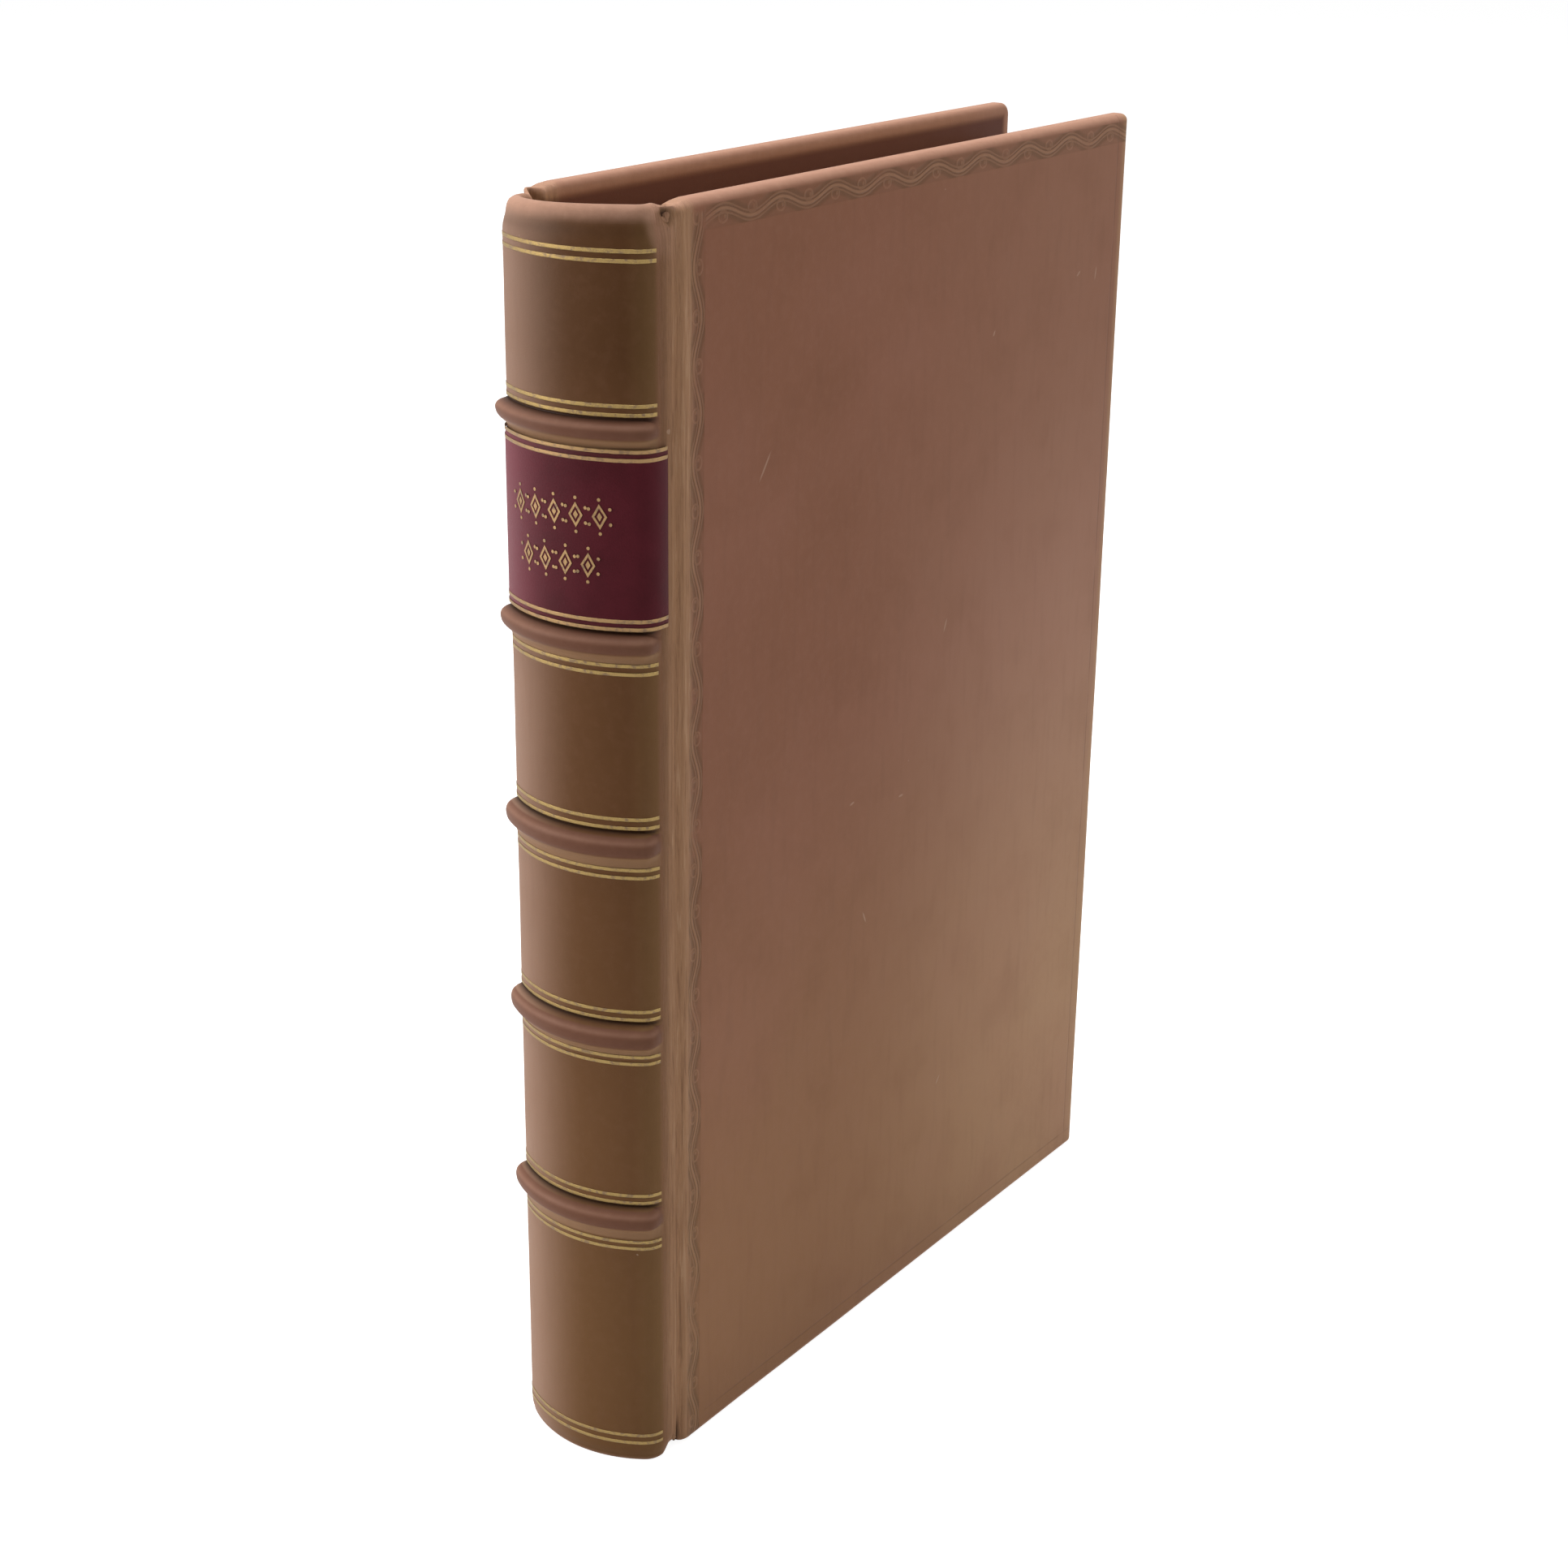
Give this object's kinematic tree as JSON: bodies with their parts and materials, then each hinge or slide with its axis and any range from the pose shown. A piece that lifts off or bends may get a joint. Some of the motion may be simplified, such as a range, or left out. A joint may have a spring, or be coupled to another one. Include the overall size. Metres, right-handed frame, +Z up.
{
  "type": "antique leather book",
  "caption": "Upright leather-bound book with rounded spine, raised bands, title label and two hinged covers over a solid block of leaves.",
  "frame": {"origin": "under the middle of the book's box, on the surface that it stands on", "axes": "+Z up from tail to head, +X from the spine to the fore-edge, -Y out of the front cover"},
  "size_m": [0.1598, 0.0314, 0.228],
  "materials": {
    "calf": "worn polished brown calf",
    "label_leather": "burgundy goatskin, satin",
    "leaves": "aged rag paper edges",
    "millboard": "grey brown pulp board",
    "endpaper": "aged laid paper",
    "lining_paper": "pasted paper",
    "hemp_cord": "twisted hemp",
    "endband_silk": "wound silk in two colours"
  },
  "bodies": {
    "book_block": {"text_block": "leaves", "spine_leather": "calf", "title_label": "label_leather", "head_endband": "endband_silk", "tail_endband": "endband_silk", "sewing_cord_1": "hemp_cord", "sewing_cord_2": "hemp_cord", "sewing_cord_3": "hemp_cord", "sewing_cord_4": "hemp_cord", "sewing_cord_5": "hemp_cord", "spine_lining_1": "lining_paper", "spine_lining_2": "lining_paper", "spine_lining_3": "lining_paper", "spine_lining_4": "lining_paper", "spine_lining_5": "lining_paper", "spine_lining_6": "lining_paper"},
    "front_cover": {"front_board": "millboard", "front_cover_leather": "calf", "front_pastedown": "endpaper", "front_slip_1": "hemp_cord", "front_slip_2": "hemp_cord", "front_slip_3": "hemp_cord", "front_slip_4": "hemp_cord", "front_slip_5": "hemp_cord"},
    "rear_cover": {"rear_board": "millboard", "rear_cover_leather": "calf", "rear_pastedown": "endpaper", "rear_slip_1": "hemp_cord", "rear_slip_2": "hemp_cord", "rear_slip_3": "hemp_cord", "rear_slip_4": "hemp_cord", "rear_slip_5": "hemp_cord"}
  },
  "joints": [
    {"name": "front_joint", "type": "hinge", "parent": "book_block", "child": "front_cover", "pos_m": [-0.06607, -0.0157, 0.114], "axis": [0, 0, -1], "range_deg": [0, 135]},
    {"name": "rear_joint", "type": "hinge", "parent": "book_block", "child": "rear_cover", "pos_m": [-0.06607, 0.0157, 0.114], "axis": [0, 0, 1], "range_deg": [0, 135]}
  ]
}
